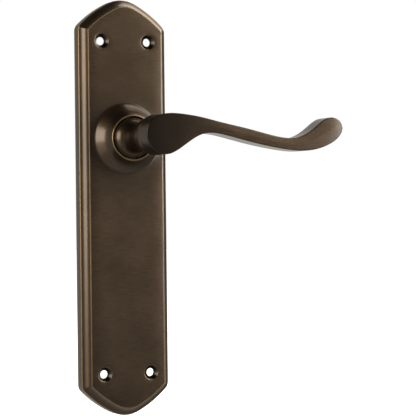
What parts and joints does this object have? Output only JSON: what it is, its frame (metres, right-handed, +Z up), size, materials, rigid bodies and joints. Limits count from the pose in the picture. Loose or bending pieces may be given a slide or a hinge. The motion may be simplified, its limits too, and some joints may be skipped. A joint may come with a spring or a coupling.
{
  "type": "lever door handle on backplate",
  "caption": "Lever door handle on a long shaped backplate, with a waved arm, a turned boss, a sprung pivot behind the plate and a square spindle socket.",
  "frame": {"origin": "where the spindle axis meets the door face, at the plane of the backplate's rim", "axes": "+X along the lever towards its tip, +Y into the door along the spindle axis, +Z up the backplate; the front faces -Y"},
  "size_m": [0.115, 0.0575, 0.2],
  "materials": {
    "antique_brass_plate": "dark antique brass, brushed and lacquered, rubbed gold on the arrises",
    "antique_brass_lever": "dark antique brass, satin, rubbed on the arrises",
    "bush_plastic": "natural acetal, matt",
    "zinc_steel": "zinc-plated pressed steel",
    "screw_steel": "bright zinc plate",
    "pin_steel": "ground steel",
    "spring_steel": "oiled spring steel",
    "cam_steel": "sintered steel"
  },
  "bodies": {
    "plate": {"backplate": "antique_brass_plate", "neck_bush": "bush_plastic", "spring_cup": "zinc_steel", "cassette_cover": "zinc_steel", "cover_screws": "screw_steel", "rest_stop_pin": "pin_steel", "limit_stop_pin": "pin_steel", "spring_anchor_pin": "pin_steel", "return_spring": "spring_steel"},
    "handle": {"lever": "antique_brass_lever", "neck_washer": "bush_plastic", "drive_cam": "cam_steel", "drive_pin": "pin_steel", "thrust_washer": "zinc_steel", "disc_spring": "spring_steel", "circlip": "spring_steel"}
  },
  "joints": [
    {"name": "lever_turn", "type": "hinge", "parent": "plate", "child": "handle", "pos_m": [0, 0, 0], "axis": [0, 1, 0], "range_deg": [0, 55], "stiffness_Nm_per_rad": 0.24, "springref_deg": -45.84, "deforming": ["return_spring"]}
  ]
}
